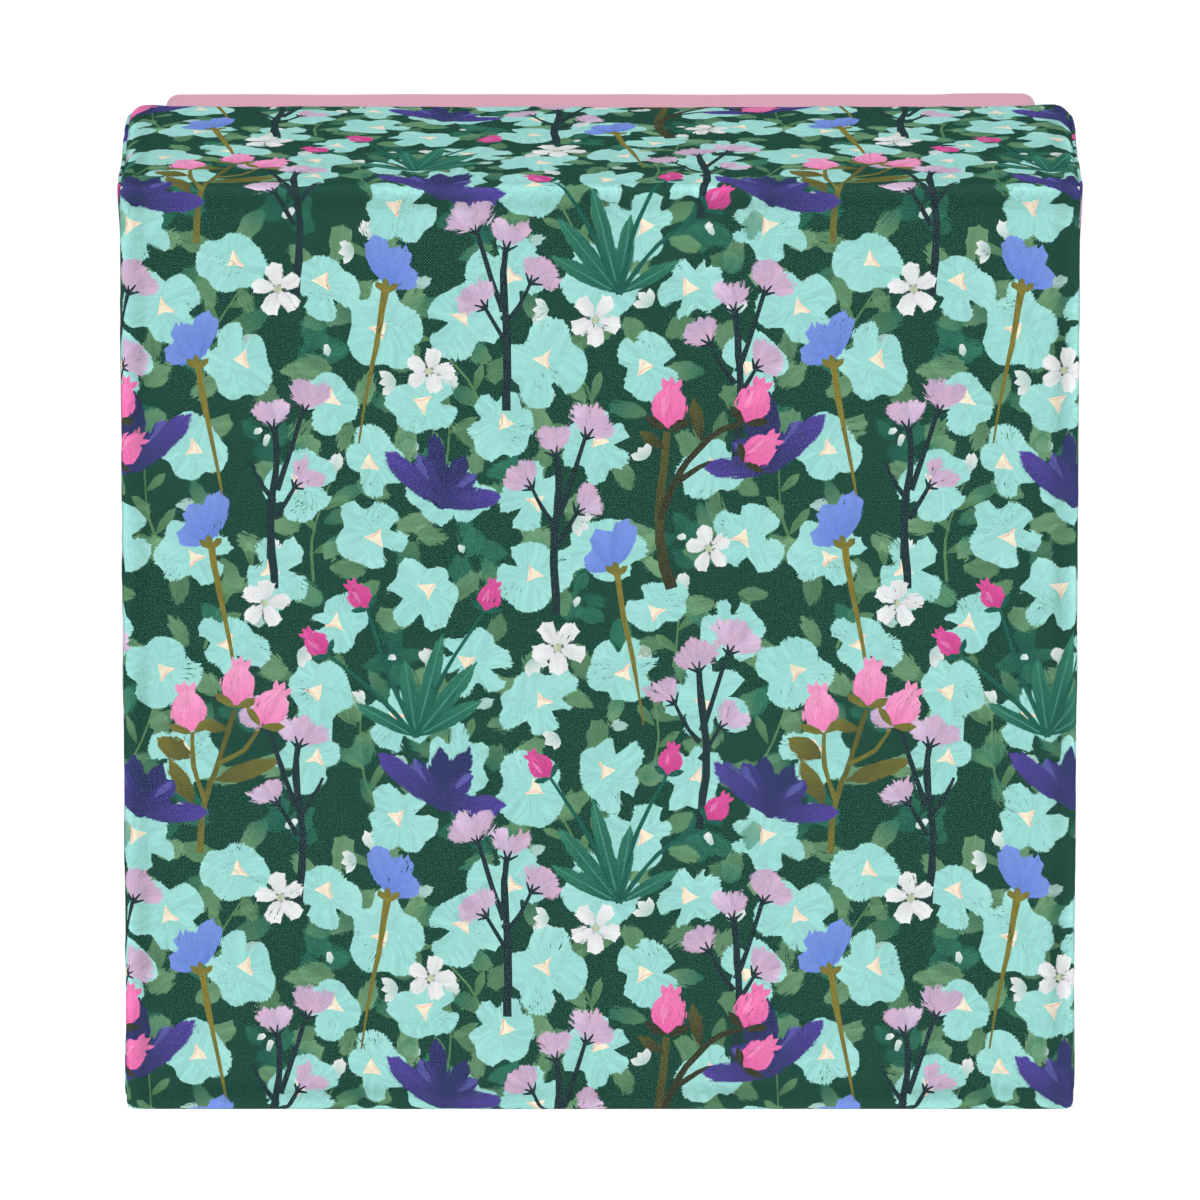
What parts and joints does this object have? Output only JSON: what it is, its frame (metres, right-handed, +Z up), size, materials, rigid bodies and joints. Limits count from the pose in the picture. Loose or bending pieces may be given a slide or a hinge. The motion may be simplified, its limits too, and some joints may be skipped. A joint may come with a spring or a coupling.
{
  "type": "flower box",
  "caption": "Square rigid flower box: a padded lid in floral-print cloth lifts straight off a plain pink paper-wrapped base.",
  "frame": {"origin": "middle of the base's underside, on the surface that the box stands on", "axes": "+Z up through the lid's top; +X to the right and -Y towards the front wall; the printed flowers on the top grow towards +Y"},
  "size_m": [0.16, 0.16, 0.098],
  "materials": {
    "printed_cotton": "matte",
    "wadding": "matte",
    "pink_wrap": "matte",
    "greyboard": "matte",
    "kraft_paper": "matte",
    "lining_card": "matte",
    "underside_paper": "matte",
    "clear_film": "gloss"
  },
  "bodies": {
    "base": {"base_underside_sheet": "underside_paper", "base_bottom_board": "greyboard", "base_front_board": "greyboard", "base_right_board": "greyboard", "base_back_board": "greyboard", "base_left_board": "greyboard", "base_stay_front_left": "kraft_paper", "base_stay_front_right": "kraft_paper", "base_stay_back_right": "kraft_paper", "base_stay_back_left": "kraft_paper", "base_wrap": "pink_wrap", "base_floor_liner": "lining_card", "base_front_liner": "lining_card", "base_right_liner": "lining_card", "base_back_liner": "lining_card", "base_left_liner": "lining_card", "base_waterproof_film": "clear_film"},
    "lid": {"lid_top_board": "greyboard", "lid_front_board": "greyboard", "lid_right_board": "greyboard", "lid_back_board": "greyboard", "lid_left_board": "greyboard", "lid_stay_front_left": "kraft_paper", "lid_stay_front_right": "kraft_paper", "lid_stay_back_right": "kraft_paper", "lid_stay_back_left": "kraft_paper", "lid_padding": "wadding", "lid_fabric_cover": "printed_cotton", "lid_ceiling_liner": "lining_card", "lid_front_liner": "lining_card", "lid_right_liner": "lining_card", "lid_back_liner": "lining_card", "lid_left_liner": "lining_card"}
  },
  "joints": [
    {"name": "lid_lift", "type": "slide", "parent": "base", "child": "lid", "axis": [0, 0, 1], "range_m": [0, 0.1]}
  ]
}
